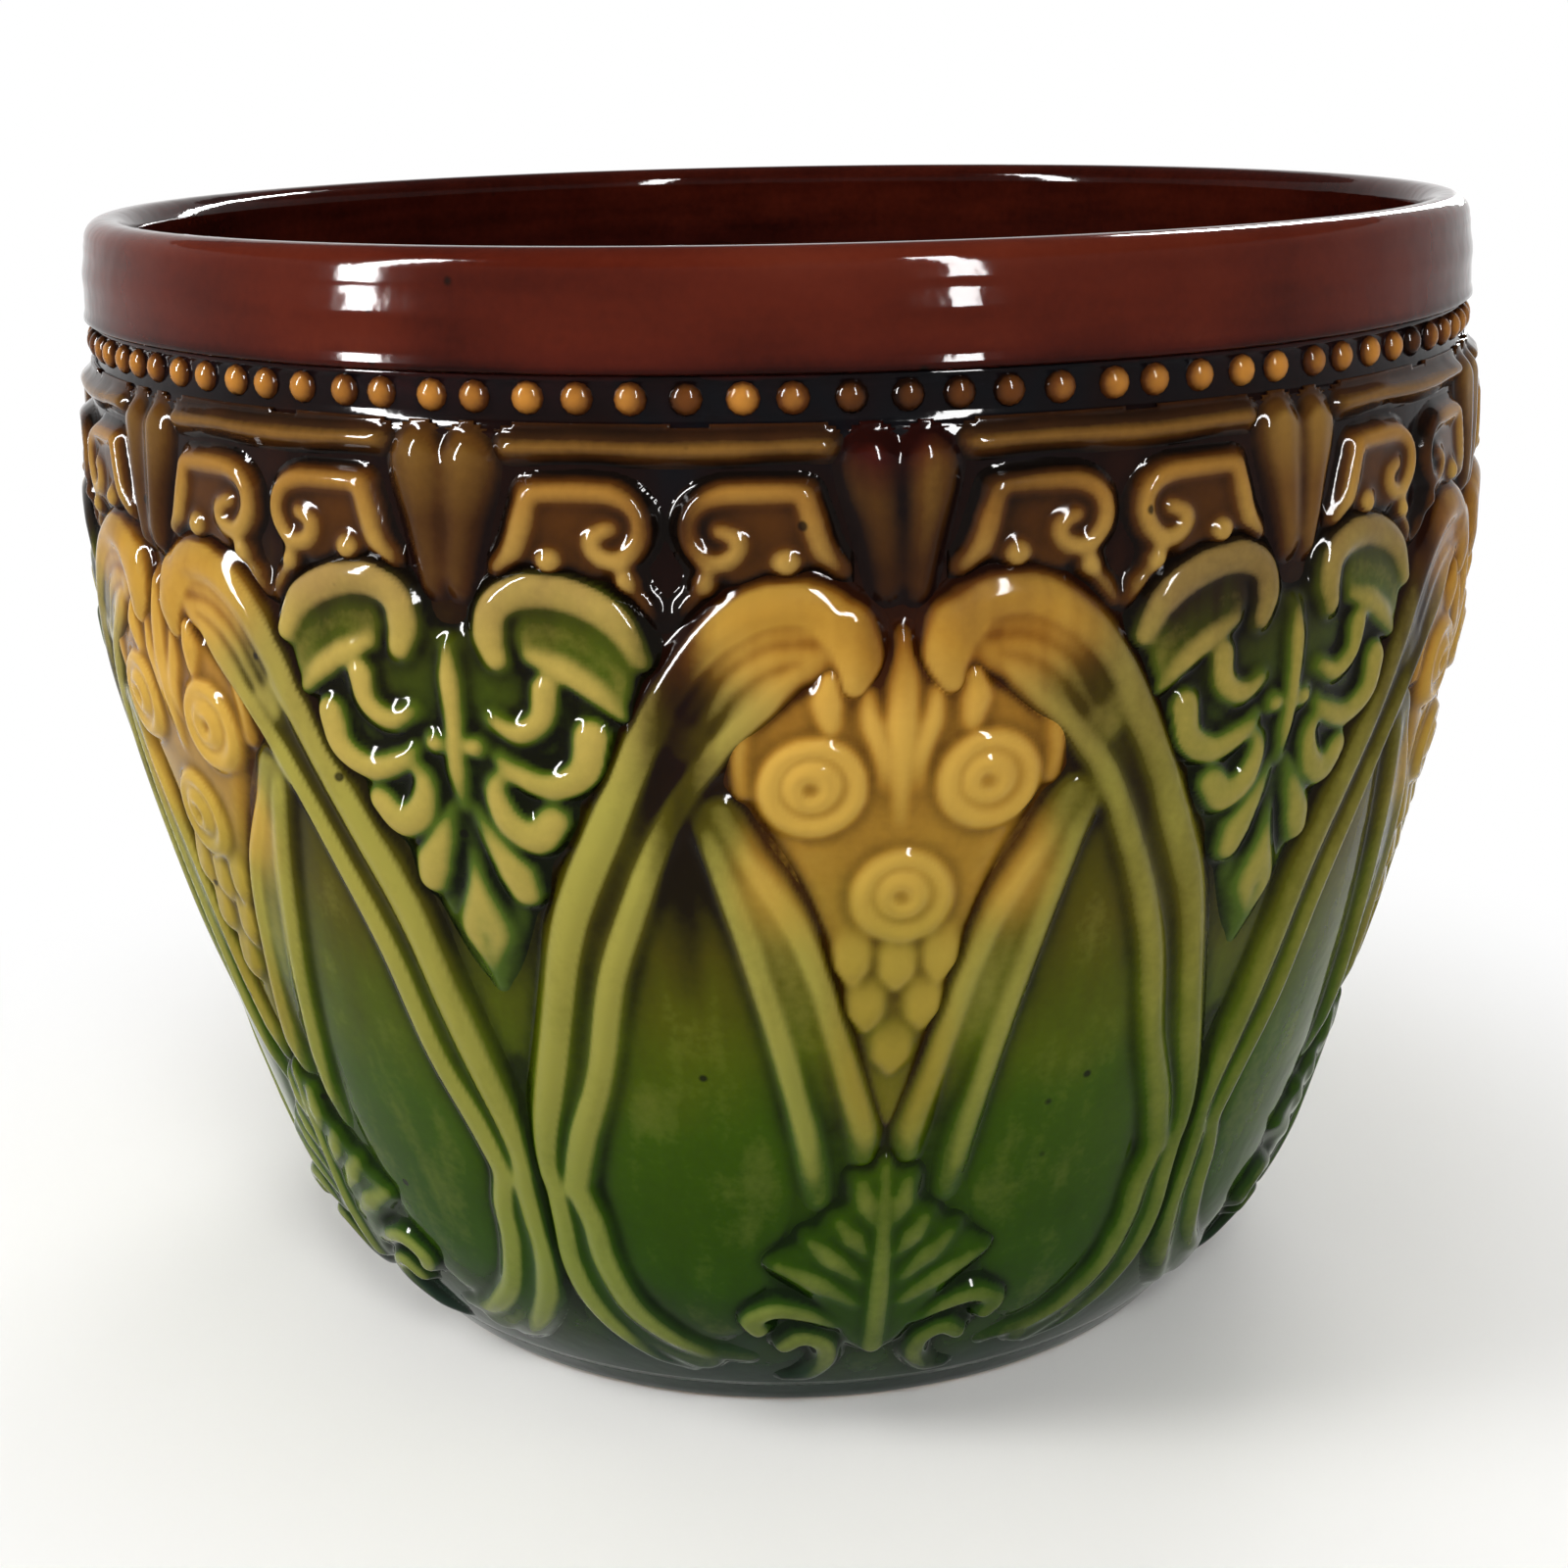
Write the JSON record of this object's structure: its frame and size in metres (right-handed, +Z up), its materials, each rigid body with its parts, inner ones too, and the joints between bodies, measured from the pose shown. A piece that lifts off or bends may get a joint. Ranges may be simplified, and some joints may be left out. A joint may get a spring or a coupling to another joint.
{
  "type": "majolica jardiniere",
  "caption": "Round glazed earthenware planter with a plain rim collar, a bead course and moulded relief of flowers, palmettes and strapwork round its swelling wall.",
  "frame": {"origin": "on the standing plane, under the middle of the foot", "axes": "+Z up along the pot's axis, -Y towards the middle of the first flower spray"},
  "size_m": [0.2938, 0.2934, 0.233],
  "materials": {
    "brown_glaze": "gloss",
    "amber_glaze": "gloss",
    "honey_glaze": "gloss",
    "green_glaze": "gloss",
    "bare_foot": "matte"
  },
  "bodies": {
    "root": {"bowl": "green_glaze", "foot_ring": "bare_foot", "rim_collar": "brown_glaze", "bead_course": "amber_glaze", "fillet_course": "amber_glaze", "tongue_01": "brown_glaze", "volute_bracket_01": "amber_glaze", "leaf_panel_01": "green_glaze", "tongue_02": "brown_glaze", "volute_bracket_02": "amber_glaze", "leaf_panel_02": "green_glaze", "tongue_03": "brown_glaze", "volute_bracket_03": "amber_glaze", "leaf_panel_03": "green_glaze", "tongue_04": "brown_glaze", "volute_bracket_04": "amber_glaze", "leaf_panel_04": "green_glaze", "tongue_05": "brown_glaze", "volute_bracket_05": "amber_glaze", "leaf_panel_05": "green_glaze", "tongue_06": "brown_glaze", "volute_bracket_06": "amber_glaze", "leaf_panel_06": "green_glaze", "tongue_07": "brown_glaze", "volute_bracket_07": "amber_glaze", "leaf_panel_07": "green_glaze", "tongue_08": "brown_glaze", "volute_bracket_08": "amber_glaze", "leaf_panel_08": "green_glaze", "tongue_09": "brown_glaze", "volute_bracket_09": "amber_glaze", "leaf_panel_09": "green_glaze", "tongue_10": "brown_glaze", "volute_bracket_10": "amber_glaze", "leaf_panel_10": "green_glaze", "tongue_11": "brown_glaze", "volute_bracket_11": "amber_glaze", "leaf_panel_11": "green_glaze", "tongue_12": "brown_glaze", "volute_bracket_12": "amber_glaze", "leaf_panel_12": "green_glaze", "flower_spray_1": "honey_glaze", "palmette_1": "green_glaze", "foot_leaf_1": "green_glaze", "flower_spray_2": "honey_glaze", "palmette_2": "green_glaze", "foot_leaf_2": "green_glaze", "flower_spray_3": "honey_glaze", "palmette_3": "green_glaze", "foot_leaf_3": "green_glaze", "flower_spray_4": "honey_glaze", "palmette_4": "green_glaze", "foot_leaf_4": "green_glaze", "flower_spray_5": "honey_glaze", "palmette_5": "green_glaze", "foot_leaf_5": "green_glaze", "flower_spray_6": "honey_glaze", "palmette_6": "green_glaze", "foot_leaf_6": "green_glaze"}
  },
  "joints": []
}
